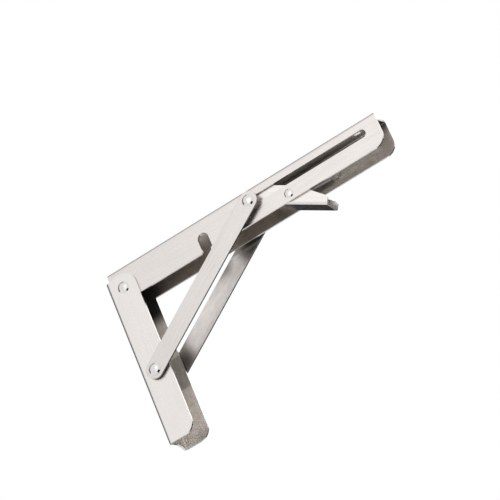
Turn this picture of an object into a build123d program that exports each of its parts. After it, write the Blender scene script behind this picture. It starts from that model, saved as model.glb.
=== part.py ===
from build123d import *
import os
from math import asin, atan2, cos, degrees, radians, sin, sqrt, tan

# Folding shelf bracket. Millimetres. +X runs out from the wall along the arm,
# +Y runs to the rear side, +Z is up. The origin is the middle wall screw, on
# the wall face, midway across the leg. "Front" pieces are on the -Y side.

# Sheet and bends
SHEET = 2.0
BEND_INSIDE = 1.5
BEND_OUTSIDE = BEND_INSIDE + SHEET

# Fits and clearances
SIDE_PLAY = 0.3
AXIAL_PLAY = 0.12
RUNNING_FIT = 0.05
SLOT_FIT = 0.1
STUB_GAP = 0.3

# Wall leg
LEG_WIDTH = 33.2
LEG_FLANGE = 29.8
LEG_LENGTH = 170.4
LEG_TOP_DROP = 9.6
CORNER_RADIUS = 12.0

# Shelf arm
ARM_REACH = 300.0
ARM_FLANGE = 33.0
ARM_WALL_GAP = 3.8
HINGE_OUT = 16.0
HINGE_DROP = 21.0
EAR_RADIUS = LEG_FLANGE - HINGE_OUT
WEB_END_HOLLOW = 2.5

# Screw holes, countersunk from the inside of each channel
SCREW_HOLE_DIAMETER = 6.6
SCREW_SINK_DIAMETER = 10.4
SCREW_SINK_ANGLE = 90.0
WALL_SCREW_PITCH = 60.0
WALL_SCREW_DROP = 95.0
SHELF_SCREW_FIRST = 35.0
SHELF_SCREW_END_MARGIN = 25.0
SCREW_COUNT = 3

# Struts
FOOT_DROP = 89.5
BAR_WIDTH = 18.0
FOOT_STANDOFF = 1.5
RIVET_SHANK_DIAMETER = 6.0
RIVET_HEAD_DIAMETER = 11.6
RIVET_HEAD_HEIGHT = 1.7
RIVET_HEAD_RIM = 0.5
RIVET_TAIL_DIAMETER = 9.0
RIVET_TAIL_HEIGHT = 1.2
SHOULDER_DIAMETER = 10.0

# Slot in both arm flanges
SLOT_WIDTH = 8.1
SLOT_DROP = 13.4
SLOT_END_PLAY = 2.0
SLOT_END_MARGIN = 18.0
PIN_COLLAR_DIAMETER = 11.0

# Notch that lets the folded arm over the foot rivets
NOTCH_WIDTH = 11.1
NOTCH_HEADROOM = 1.2
NOTCH_CHAMFER = 1.6

# Release lever
LEVER_SHEET = 1.5
LEVER_BEND_INSIDE = 1.0
LEVER_SIDE_PLAY = 0.4
LEVER_PITCH = 32.0
LEVER_PIVOT_AHEAD = 36.3
LEVER_PIVOT_DROP = 26.2
LEVER_BACK_RISE = 8.3
LEVER_WEB_DROP = 9.2
LEVER_HANDLE_LENGTH = 38.2
LEVER_TAPER_START = 5.0
LEVER_TAPER_ANGLE = 16.0
LEVER_END_CHAMFER = 2.6
LEVER_END_HEIGHT = 7.0
LEVER_WEB_BACK = 18.0
LEVER_NOSE_GAP = 0.7
LEVER_NOSE_DROP = 0.4
LEVER_SOFT_CORNER = 0.8
PIVOT_DIAMETER = 5.0
PIVOT_HEAD_DIAMETER = 9.3
PIVOT_HEAD_HEIGHT = 1.3
PIVOT_HEAD_RIM = 0.4

# Spring and the tab that anchors it
WIRE_DIAMETER = 0.8
COIL_RADIUS = 1.7
COIL_PITCH = 2.0
COIL_TURNS = 12
WIRE_BEND = 0.9
WIRE_SIDES = 6
SPRING_HOLE_DIAMETER = 1.8
SPRING_ALONG = 3.0
SPRING_RISE = 5.5
SPRING_LINE_INSET = 3.3
TAB_AHEAD = 41.5
TAB_HEIGHT = 4.6
TAB_REACH = 5.6
TAB_DROP = 24.3
TAB_LENGTH = 10.8
TAB_SHEET = 1.0
TAB_CORNER = 1.0
TAB_BEND_INSIDE = 0.8
HOOK_DROP = 2.4
HOOK_REACH = 1.4

# Derived sizes
CUT_MARGIN = 1.0
BIG = 2 * ARM_REACH
LEG_HALF = LEG_WIDTH / 2
LEG_INSIDE_HALF = LEG_HALF - SHEET
ARM_HALF = LEG_INSIDE_HALF - SIDE_PLAY
ARM_WIDTH = 2 * ARM_HALF
ARM_INSIDE_HALF = ARM_HALF - SHEET
LEVER_HALF = ARM_INSIDE_HALF - LEVER_SIDE_PLAY
BAR_INSIDE = LEG_HALF + FOOT_STANDOFF + AXIAL_PLAY
BAR_OUTSIDE = BAR_INSIDE + SHEET
PIN_DIAMETER = SLOT_WIDTH - 2 * SLOT_FIT

SHELF_Z = WALL_SCREW_DROP
HINGE_X = HINGE_OUT
HINGE_Z = SHELF_Z - HINGE_DROP
FOOT_X = HINGE_OUT
FOOT_Z = HINGE_Z - FOOT_DROP
PIN_Z = SHELF_Z - SLOT_DROP
ARM_END_RADIUS = HINGE_OUT - ARM_WALL_GAP

# The slot's far end sets the strut: folded, the pin stands just short of that
# end, in line below the foot rivet. The same strut then places the pin when the
# bracket is open, and the slot starts there.
PIN_RISE = PIN_Z - HINGE_Z
SLOT_END_X = ARM_REACH - SLOT_END_MARGIN
FOLDED_REACH = SLOT_END_X - SLOT_END_PLAY - HINGE_X
STRUT_SPAN = sqrt((FOLDED_REACH - FOOT_DROP) ** 2 + PIN_RISE ** 2)
STRUT_RISE = PIN_Z - FOOT_Z
PIN_X = FOOT_X + sqrt(STRUT_SPAN ** 2 - STRUT_RISE ** 2)
STRUT_ANGLE = degrees(atan2(STRUT_RISE, PIN_X - FOOT_X))
SLOT_START_X = PIN_X
SHELF_SCREW_RUN = ARM_REACH - SHELF_SCREW_FIRST - SHELF_SCREW_END_MARGIN
SHELF_SCREW_PITCH = SHELF_SCREW_RUN / (SCREW_COUNT - 1)

LEVER_X = PIN_X + LEVER_PIVOT_AHEAD
LEVER_Z = SHELF_Z - LEVER_PIVOT_DROP
LEVER_COS = cos(radians(LEVER_PITCH))
LEVER_SIN = sin(radians(LEVER_PITCH))
TAB_X = LEVER_X + TAB_AHEAD
TAB_Z = SHELF_Z - TAB_DROP
SPRING_LINE_Y = ARM_INSIDE_HALF - SPRING_LINE_INSET


def side_plane(y):
    """Sketch plane facing -Y at the given y: sketch x is +X and sketch y is +Z."""
    return Plane(origin=(0, y, 0), x_dir=(1, 0, 0), z_dir=(0, -1, 0))


def slab(sketch, half):
    """Extrude a side sketch from y = +half to y = -half."""
    return extrude(side_plane(half) * sketch, amount=2 * half, dir=(0, -1, 0))


def channel(length, width, depth, sheet, bend_inside):
    """U-channel along +X, web on top at z = 0, flanges hanging down to -depth."""
    inside = width - 2 * sheet
    outer = Pos(0, -depth / 2) * Rectangle(width, depth)
    outer = fillet(outer.vertices().group_by(Axis.Y)[-1], bend_inside + sheet)
    hollow_depth = depth - sheet
    hollow = Pos(0, -sheet - hollow_depth / 2) * Rectangle(inside, hollow_depth)
    hollow = fillet(hollow.vertices().group_by(Axis.Y)[-1], bend_inside)
    section = Plane.YZ * (outer - hollow)
    return extrude(section, amount=length)


def rod(radius, x, z, y_from, y_to):
    """Cylinder along Y between two y values."""
    start = Plane(origin=(x, y_from, z), z_dir=(0, 1, 0))
    return extrude(start * Circle(radius), amount=y_to - y_from)


def head(diameter, height, rim, x, z, y_seat, side):
    """Low domed rivet head seated at y_seat and standing out towards side (+1 or -1)."""
    radius = diameter / 2
    rise = height - rim
    dome = (radius ** 2 + rise ** 2) / (2 * rise)
    lean = asin(radius / dome) / 2
    middle = (dome * sin(lean), rim + dome * cos(lean) - (dome - rise))
    arc = ThreePointArc((radius, rim), middle, (0, height))
    outline = Polyline((0, height), (0, 0), (radius, 0), (radius, rim))
    face = Plane.XZ * make_face([arc, outline])
    solid = revolve(face, Axis.Z)
    return Plane(origin=(x, y_seat, z), z_dir=(0, side, 0)) * solid


def rivet_head(x, z, y_seat, side):
    """Domed head of a strut or hinge rivet."""
    return head(RIVET_HEAD_DIAMETER, RIVET_HEAD_HEIGHT, RIVET_HEAD_RIM, x, z, y_seat, side)


def screw_hole(web_inside):
    """Countersunk hole tool along Z; the sink is on the lower face, at z = web_inside."""
    hole_radius = SCREW_HOLE_DIAMETER / 2
    sink_radius = SCREW_SINK_DIAMETER / 2
    sink_depth = (sink_radius - hole_radius) / tan(radians(SCREW_SINK_ANGLE / 2))
    drill = Cylinder(hole_radius, 2 * BEND_OUTSIDE)
    seat = Pos(0, 0, web_inside + sink_depth / 2) * Cone(sink_radius, hole_radius, sink_depth)
    return drill + seat


def end_hollow(width, bend_inside, sheet):
    """Tool for the shallow arc at the free end of a web; the end is at x = 0."""
    half_chord = width / 2 - bend_inside - sheet
    radius = (half_chord ** 2 + WEB_END_HOLLOW ** 2) / (2 * WEB_END_HOLLOW)
    disc = Cylinder(radius, sheet + CUT_MARGIN)
    return Pos(radius - WEB_END_HOLLOW, 0, (CUT_MARGIN - sheet) / 2) * disc


def make_leg():
    """Wall leg: U-channel on the wall with an ear for the hinge at the top of each flange."""
    ear_top = HINGE_Z + EAR_RADIUS
    web_top = SHELF_Z - LEG_TOP_DROP
    bottom = web_top - LEG_LENGTH
    frame = Plane(origin=(0, 0, ear_top), x_dir=(0, 0, -1), z_dir=(-1, 0, 0))
    length = ear_top - bottom
    solid = channel(length, LEG_WIDTH, LEG_FLANGE, SHEET, BEND_INSIDE)
    holes = end_hollow(LEG_WIDTH, BEND_INSIDE, SHEET)
    solid = solid - Pos(length, 0, 0) * holes
    tool = screw_hole(-SHEET)
    for index in range(SCREW_COUNT):
        step = (index - (SCREW_COUNT - 1) / 2) * WALL_SCREW_PITCH
        solid = solid - Pos(ear_top + step, 0, 0) * tool
    solid = frame * solid
    ear = Pos(HINGE_X, HINGE_Z) * Circle(EAR_RADIUS)
    body = Pos(LEG_FLANGE / 2, (HINGE_Z + bottom) / 2) * Rectangle(LEG_FLANGE, HINGE_Z - bottom)
    body = fillet(body.vertices().sort_by(Axis.X)[-2:].sort_by(Axis.Y)[0], CORNER_RADIUS)
    run = sqrt(HINGE_X ** 2 + (web_top - HINGE_Z) ** 2 - EAR_RADIUS ** 2)
    turn = atan2(web_top - HINGE_Z, -HINGE_X) - atan2(run, EAR_RADIUS)
    touch = (HINGE_X + EAR_RADIUS * cos(turn), HINGE_Z + EAR_RADIUS * sin(turn))
    shoulder = Polygon((0, web_top), (0, HINGE_Z), (HINGE_X, HINGE_Z), touch, align=None)
    outline = body + ear + shoulder
    solid = solid & slab(outline, LEG_WIDTH)
    for x, z in ((HINGE_X, HINGE_Z), (FOOT_X, FOOT_Z)):
        solid = solid - rod(RIVET_SHANK_DIAMETER / 2, x, z, -LEG_WIDTH, LEG_WIDTH)
    return solid


def slot_tool():
    """Both arm slots as one cut through the flanges."""
    length = SLOT_END_X - SLOT_START_X + SLOT_WIDTH
    middle = (SLOT_START_X + SLOT_END_X) / 2
    return slab(Pos(middle, PIN_Z) * SlotOverall(length, SLOT_WIDTH), ARM_WIDTH)


def notch_tool():
    """Round-topped notch with a flared mouth, cut through both flanges."""
    radius = NOTCH_WIDTH / 2
    centre_x = HINGE_X + FOOT_DROP
    centre_z = HINGE_Z + NOTCH_HEADROOM
    mouth_z = SHELF_Z - ARM_FLANGE
    floor_z = mouth_z - CUT_MARGIN
    height = centre_z - floor_z
    shank = Pos(centre_x, centre_z - height / 2) * Rectangle(NOTCH_WIDTH, height)
    flare = Polygon(
        (centre_x - radius, mouth_z + NOTCH_CHAMFER),
        (centre_x - radius - NOTCH_CHAMFER, mouth_z),
        (centre_x - radius - NOTCH_CHAMFER, floor_z),
        (centre_x + radius + NOTCH_CHAMFER, floor_z),
        (centre_x + radius + NOTCH_CHAMFER, mouth_z),
        (centre_x + radius, mouth_z + NOTCH_CHAMFER),
        align=None,
    )
    return slab(Pos(centre_x, centre_z) * Circle(radius) + shank + flare, ARM_WIDTH)


def spring_tab():
    """Clip welded inside the rear flange: a foot on the flange and an upright for the hook."""
    foot_y = ARM_INSIDE_HALF - TAB_SHEET
    tip_y = ARM_INSIDE_HALF - TAB_REACH
    weld_y = ARM_INSIDE_HALF + SHEET / 2
    corner = (TAB_X + TAB_SHEET, foot_y)
    foot_end = TAB_X + TAB_LENGTH
    flat = Polygon(
        (TAB_X, weld_y),
        (TAB_X, tip_y),
        (TAB_X + TAB_SHEET, tip_y),
        corner,
        (foot_end, foot_y),
        (foot_end, weld_y),
        align=None,
    )
    flat = fillet(flat.vertices().sort_by_distance(corner)[0], TAB_BEND_INSIDE)
    level = Plane(origin=(0, 0, TAB_Z - TAB_HEIGHT / 2))
    solid = extrude(level * flat, amount=TAB_HEIGHT, dir=(0, 0, 1))
    tip_edges = solid.edges().filter_by(Axis.X).group_by(Axis.Y)[0]
    end_edges = solid.edges().filter_by(Axis.Y).group_by(Axis.X)[-1]
    solid = fillet(tip_edges + end_edges, TAB_CORNER)
    across = Plane(origin=(TAB_X - TAB_SHEET, SPRING_LINE_Y, TAB_Z), z_dir=(1, 0, 0))
    return solid - extrude(across * Circle(SPRING_HOLE_DIAMETER / 2), amount=3 * TAB_SHEET)


def make_arm():
    """Shelf arm: U-channel with slots, notches, screw holes and the spring's clip."""
    end_z = SHELF_Z - ARM_FLANGE
    length = ARM_REACH - ARM_WALL_GAP
    solid = Pos(ARM_WALL_GAP, 0, SHELF_Z) * channel(length, ARM_WIDTH, ARM_FLANGE, SHEET, BEND_INSIDE)
    solid = solid - Pos(ARM_REACH, 0, SHELF_Z) * end_hollow(ARM_WIDTH, BEND_INSIDE, SHEET)
    tool = screw_hole(-SHEET)
    for index in range(SCREW_COUNT):
        solid = solid - Pos(SHELF_SCREW_FIRST + index * SHELF_SCREW_PITCH, 0, SHELF_Z) * tool
    arm_middle = ((HINGE_X + ARM_REACH) / 2, (SHELF_Z + end_z) / 2)
    body = Pos(*arm_middle) * Rectangle(ARM_REACH - HINGE_X, ARM_FLANGE)
    body = fillet(body.vertices().sort_by(Axis.X)[-2:].sort_by(Axis.Y)[0], CORNER_RADIUS)
    knuckle = Pos(HINGE_X, HINGE_Z) * Circle(ARM_END_RADIUS)
    upper = Pos((ARM_WALL_GAP + HINGE_X) / 2, (SHELF_Z + HINGE_Z) / 2)
    upper = upper * Rectangle(HINGE_X - ARM_WALL_GAP, SHELF_Z - HINGE_Z)
    solid = solid & slab(body + knuckle + upper, ARM_WIDTH)
    solid = solid - slot_tool() - notch_tool()
    hinge_radius = RIVET_SHANK_DIAMETER / 2 + RUNNING_FIT
    solid = solid - rod(hinge_radius, HINGE_X, HINGE_Z, -ARM_WIDTH, ARM_WIDTH)
    solid = solid - rod(PIVOT_DIAMETER / 2, LEVER_X, LEVER_Z, -ARM_WIDTH, ARM_WIDTH)
    return solid + spring_tab()


def make_bar(side):
    """Strut bar on one side (+1 rear, -1 front), from the foot rivet up to the slot pin."""
    middle_x = (FOOT_X + PIN_X) / 2
    middle_z = (FOOT_Z + PIN_Z) / 2
    shape = SlotCenterToCenter(STRUT_SPAN, BAR_WIDTH, rotation=STRUT_ANGLE)
    shape = Pos(middle_x, middle_z) * shape
    outer = max(side * BAR_INSIDE, side * BAR_OUTSIDE)
    solid = extrude(side_plane(outer) * shape, amount=SHEET)
    foot_radius = RIVET_SHANK_DIAMETER / 2 + RUNNING_FIT
    solid = solid - rod(foot_radius, FOOT_X, FOOT_Z, -LEG_WIDTH, LEG_WIDTH)
    return solid - rod(RIVET_SHANK_DIAMETER / 2, PIN_X, PIN_Z, -LEG_WIDTH, LEG_WIDTH)


def make_hinge_rivet(side):
    """Rivet fixed in the leg's ear; the arm turns on its shank."""
    tail_seat = ARM_INSIDE_HALF - AXIAL_PLAY
    tail_end = tail_seat - RIVET_TAIL_HEIGHT
    solid = rivet_head(HINGE_X, HINGE_Z, side * LEG_HALF, side)
    solid = solid + rod(RIVET_SHANK_DIAMETER / 2, HINGE_X, HINGE_Z, side * tail_seat, side * LEG_HALF)
    return solid + rod(RIVET_TAIL_DIAMETER / 2, HINGE_X, HINGE_Z, side * tail_end, side * tail_seat)


def make_foot_rivet(side):
    """Shouldered rivet fixed in the leg; the bar turns on its outer tenon."""
    shank = RIVET_SHANK_DIAMETER / 2
    tail_end = LEG_INSIDE_HALF - RIVET_TAIL_HEIGHT
    shoulder_end = LEG_HALF + FOOT_STANDOFF
    head_seat = BAR_OUTSIDE + AXIAL_PLAY
    solid = rivet_head(FOOT_X, FOOT_Z, side * head_seat, side)
    solid = solid + rod(shank, FOOT_X, FOOT_Z, side * LEG_INSIDE_HALF, side * head_seat)
    solid = solid + rod(SHOULDER_DIAMETER / 2, FOOT_X, FOOT_Z, side * LEG_HALF, side * shoulder_end)
    return solid + rod(RIVET_TAIL_DIAMETER / 2, FOOT_X, FOOT_Z, side * tail_end, side * LEG_INSIDE_HALF)


def make_pin_rivet(side):
    """Rivet at the bar's upper end: domed head and the tenon that fills the bar."""
    solid = rivet_head(PIN_X, PIN_Z, side * BAR_OUTSIDE, side)
    return solid + rod(RIVET_SHANK_DIAMETER / 2, PIN_X, PIN_Z, side * BAR_INSIDE, side * BAR_OUTSIDE)


def make_slot_pin(side):
    """Stub that rides in the arm's slot, with the collar that spaces the bar off the arm."""
    collar_seat = ARM_HALF + AXIAL_PLAY
    collar_end = BAR_INSIDE - STUB_GAP
    solid = rod(PIN_DIAMETER / 2, PIN_X, PIN_Z, side * ARM_INSIDE_HALF, side * collar_seat)
    return solid + rod(PIN_COLLAR_DIAMETER / 2, PIN_X, PIN_Z, side * collar_seat, side * collar_end)


def lever_point(along, rise):
    """World x and z of a point on the lever, from its pivot, along and above its handle."""
    x = LEVER_X + along * LEVER_COS + rise * LEVER_SIN
    z = LEVER_Z - along * LEVER_SIN + rise * LEVER_COS
    return (x, z)


def lever_outline():
    """Side view of the lever: nose in the slot, back, tapering handle, bottom web."""
    tip_x = PIN_X + PIN_DIAMETER / 2 + LEVER_NOSE_GAP
    nose_z = PIN_Z + SLOT_WIDTH / 2 - LEVER_NOSE_DROP
    nose_rise = nose_z - LEVER_Z
    heel_x = LEVER_X + (LEVER_BACK_RISE - nose_rise * LEVER_COS) / LEVER_SIN
    finger_floor = LEVER_BEND_INSIDE + LEVER_SHEET - LEVER_WEB_DROP
    tip_low = LEVER_Z + (finger_floor - (tip_x - LEVER_X) * LEVER_SIN) / LEVER_COS
    end_top = LEVER_END_HEIGHT - LEVER_WEB_DROP
    slope = tan(radians(LEVER_TAPER_ANGLE))
    chamfer_at = LEVER_HANDLE_LENGTH - LEVER_END_CHAMFER
    chamfer_rise = LEVER_BACK_RISE - (chamfer_at - LEVER_TAPER_START) * slope
    outline = Polygon(
        (tip_x, nose_z),
        (heel_x, nose_z),
        lever_point(LEVER_TAPER_START, LEVER_BACK_RISE),
        lever_point(chamfer_at, chamfer_rise),
        lever_point(LEVER_HANDLE_LENGTH, end_top),
        lever_point(LEVER_HANDLE_LENGTH, -LEVER_WEB_DROP),
        lever_point(-LEVER_WEB_BACK, -LEVER_WEB_DROP),
        lever_point(-LEVER_WEB_BACK, finger_floor),
        (tip_x, tip_low),
        align=None,
    )
    return fillet(outline.vertices(), LEVER_SOFT_CORNER)


def make_lever():
    """Release lever: channel folded from thinner sheet, its web underneath the handle."""
    back = BIG / 2
    depth = 4 * LEVER_BACK_RISE
    start = lever_point(-back, -LEVER_WEB_DROP)
    frame = Plane(
        origin=(start[0], 0, start[1]),
        x_dir=(LEVER_COS, 0, -LEVER_SIN),
        z_dir=(-LEVER_SIN, 0, -LEVER_COS),
    )
    solid = frame * channel(BIG, 2 * LEVER_HALF, depth, LEVER_SHEET, LEVER_BEND_INSIDE)
    solid = solid & slab(lever_outline(), LEVER_HALF)
    pivot_radius = PIVOT_DIAMETER / 2 + RUNNING_FIT
    solid = solid - rod(pivot_radius, LEVER_X, LEVER_Z, -ARM_WIDTH, ARM_WIDTH)
    hook_x, hook_z = lever_point(SPRING_ALONG, SPRING_RISE)
    return solid - rod(SPRING_HOLE_DIAMETER / 2, hook_x, hook_z, 0, ARM_WIDTH)


def make_pivot_pin():
    """Lever pivot: one pin through both arm flanges, headed on each side."""
    solid = rod(PIVOT_DIAMETER / 2, LEVER_X, LEVER_Z, -ARM_HALF, ARM_HALF)
    for side in (-1, 1):
        shape = (PIVOT_HEAD_DIAMETER, PIVOT_HEAD_HEIGHT, PIVOT_HEAD_RIM)
        solid = solid + head(*shape, LEVER_X, LEVER_Z, side * ARM_HALF, side)
    return solid


def make_spring():
    """Tension spring: hook through the lever, open coil, hook through the arm's tab."""
    start_x, start_z = lever_point(SPRING_ALONG, SPRING_RISE)
    run_x = TAB_X - start_x
    run_z = TAB_Z - start_z
    run = sqrt(run_x ** 2 + run_z ** 2)
    frame = Plane(
        origin=(start_x, SPRING_LINE_Y, start_z),
        x_dir=(0, 1, 0),
        z_dir=(run_x / run, 0, run_z / run),
    )
    coil_length = COIL_PITCH * COIL_TURNS
    lead = (run - coil_length) / 2
    near_end = lead + WIRE_DIAMETER / 2
    far_start = run - near_end
    far_end = run + TAB_SHEET + HOOK_REACH
    helix = Pos(-COIL_RADIUS, 0, lead) * Helix(COIL_PITCH, coil_length, COIL_RADIUS)
    hook_in = LEVER_HALF - SPRING_LINE_Y + STUB_GAP / 2
    near = FilletPolyline((hook_in, 0, 0), (0, 0, 0), (0, 0, near_end), radius=WIRE_BEND)
    far = FilletPolyline((0, 0, far_start), (0, 0, far_end), (0, HOOK_DROP, far_end), radius=WIRE_BEND)
    wire = RegularPolygon(WIRE_DIAMETER / 2, WIRE_SIDES)
    coil = sweep(Plane(origin=helix @ 0, z_dir=helix % 0) * wire, path=helix, is_frenet=True)
    near_hook = sweep(Plane(origin=near @ 0, z_dir=near % 0) * wire, path=near)
    far_hook = sweep(Plane(origin=far @ 0, z_dir=far % 0) * wire, path=far)
    return frame * (coil + near_hook + far_hook)


def save(name, solid):
    """Write one node as its own STEP file."""
    solid.label = name
    export_step(solid, os.path.join("parts", name + ".step"))


def main():
    """Build every piece of the bracket and write it out."""
    os.makedirs("parts", exist_ok=True)
    save("wall_leg", make_leg())
    save("shelf_arm", make_arm())
    save("release_lever", make_lever())
    save("lever_pivot_pin", make_pivot_pin())
    save("lever_spring", make_spring())
    for side, name in ((-1, "front"), (1, "rear")):
        save("strut_bar_" + name, make_bar(side))
        save("hinge_rivet_" + name, make_hinge_rivet(side))
        save("foot_rivet_" + name, make_foot_rivet(side))
        save("pin_rivet_" + name, make_pin_rivet(side))
        save("slot_pin_" + name, make_slot_pin(side))


main()
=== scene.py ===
"""Folding shelf bracket: finishes and fine detail over the fixed frame.

Lengths are in metres. +X runs out from the wall along the arm, +Y to the rear
side and +Z up, as in the frame.
"""

from __future__ import annotations

import logging
import math
from dataclasses import dataclass
from enum import Enum
from typing import Any, Iterable, Sequence

import bmesh
import bpy
from mathutils import Matrix, Vector

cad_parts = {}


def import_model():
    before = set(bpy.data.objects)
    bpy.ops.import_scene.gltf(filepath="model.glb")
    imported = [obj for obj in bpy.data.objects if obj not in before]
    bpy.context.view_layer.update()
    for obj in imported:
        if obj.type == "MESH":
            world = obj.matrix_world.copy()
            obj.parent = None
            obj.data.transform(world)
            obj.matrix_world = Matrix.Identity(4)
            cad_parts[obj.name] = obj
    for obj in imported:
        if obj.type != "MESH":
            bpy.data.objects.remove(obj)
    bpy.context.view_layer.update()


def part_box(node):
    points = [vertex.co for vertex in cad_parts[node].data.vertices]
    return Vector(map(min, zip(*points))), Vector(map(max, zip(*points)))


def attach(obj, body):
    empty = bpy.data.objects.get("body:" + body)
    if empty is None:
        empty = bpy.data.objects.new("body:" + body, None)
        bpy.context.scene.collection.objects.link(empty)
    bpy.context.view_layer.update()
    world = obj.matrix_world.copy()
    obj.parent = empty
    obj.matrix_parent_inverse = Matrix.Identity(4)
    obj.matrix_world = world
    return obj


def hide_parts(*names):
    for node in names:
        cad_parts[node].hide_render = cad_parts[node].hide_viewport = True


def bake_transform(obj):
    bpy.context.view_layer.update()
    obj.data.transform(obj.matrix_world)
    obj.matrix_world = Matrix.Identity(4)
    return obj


LOG = logging.getLogger("shelf_bracket")
MM = 0.001

Colour = tuple[float, float, float]
Triple = tuple[float, float, float]
Section = list[tuple[float, float]]
Socket = bpy.types.NodeSocket

# Noise lies mostly between these two values.
NOISE_LOW, NOISE_HIGH = 0.3, 0.7
# How much each finer octave of a noise counts against the one before.
NOISE_ROUGHNESS = 0.6
# A mix node's colour sockets, by their places among its inputs and outputs.
MIX_FIRST, MIX_SECOND, MIX_RESULT = 6, 7, 2
# Names of the attributes that geometry and finishes share.
TURNED_RADIUS, FACING, COIL_SHARE = "turned_radius", "facing", "coil_share"
# Offsets that tell one pattern of noise from another.
PLAIN_SEED: Triple = (0.0, 0.0, 0.0)
STREAK_SEED: Triple = (0.31, 0.17, 0.53)
CLOUD_SEED: Triple = (1.7, 0.4, 2.9)
STAIN_SEED: Triple = (4.0, 2.0, 1.0)

# Corners nearer to each other than this are one corner.
SAME_CORNER = 0.0005 * MM
# Triangles turned by less than this lie in one flat face.
SAME_FACE = math.radians(0.2)
# Part of a normal from which a face looks along an axis, and squarely along it.
LOOKS_ALONG, LOOKS_SQUARE = 0.5, 0.9
# Room for rounding where a place is compared with a size.
SLACK = 0.05 * MM

FULL_TURN = 2 * math.pi
# Pitch of the lever below the arm, and the direction of the pins' axes.
LEVER_PITCH = math.radians(32)
REARWARDS = Vector((0.0, 1.0, 0.0))
# The point that lamps and cards face.
BRACKET_MIDDLE: Triple = (0.13, 0.0, 0.0)


class Side(Enum):
    """Which flange of the bracket a piece belongs to."""

    FRONT = -1
    REAR = 1


class Patch(Enum):
    """A part of a sheet piece, by its place among the piece's finishes."""

    FACE = 0
    EDGE = 1
    INSIDE = 2
    SINK = 3


class Run(Enum):
    """The way a folded channel runs, and the axis that its web faces."""

    ALONG_X = (0, 2)
    ALONG_Z = (2, 0)

    def sizes(self, length: float, width: float) -> Triple:
        """Feature sizes along X, Y and Z for a length along the run."""
        along = self.value[0]
        return tuple(length if axis == along else width for axis in range(3))


# --------------------------------------------------------------------------
# Benches for node trees
# --------------------------------------------------------------------------


class NodeBench:
    """Lays out the nodes of one tree and joins them."""

    def __init__(self, tree: bpy.types.NodeTree) -> None:
        """Clear a tree and take it on the bench.

        Args:
            tree: Tree that the nodes go in.
        """
        self.tree = tree
        tree.nodes.clear()

    def supply(self, target: Socket, value: Any) -> None:
        """Give a socket its value.

        Args:
            target: Socket to fill.
            value: Socket to link it to, or the plain value that it holds.
        """
        if isinstance(value, bpy.types.NodeSocket):
            self.tree.links.new(value, target)
        else:
            target.default_value = value

    def add(
        self, kind: str, inputs: dict[str | int, Any] | None = None, **settings: Any
    ) -> bpy.types.Node:
        """Add a node, set its plain properties and fill its sockets.

        Args:
            kind: Node type identifier.
            inputs: Socket or plain value for each input, by its name or place.
            **settings: Properties of the node.

        Returns:
            The new node.
        """
        node = self.tree.nodes.new(kind)
        for name, value in settings.items():
            setattr(node, name, value)
        for place, value in (inputs or {}).items():
            self.supply(node.inputs[place], value)
        return node

    def math(self, operation: str, *values: Socket | float) -> Socket:
        """Work out one value from others.

        Args:
            operation: Name of the operation.
            *values: The values that it takes, in order.

        Returns:
            The socket with the result.
        """
        node = self.add("ShaderNodeMath", dict(enumerate(values)), operation=operation)
        return node.outputs["Value"]


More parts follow.
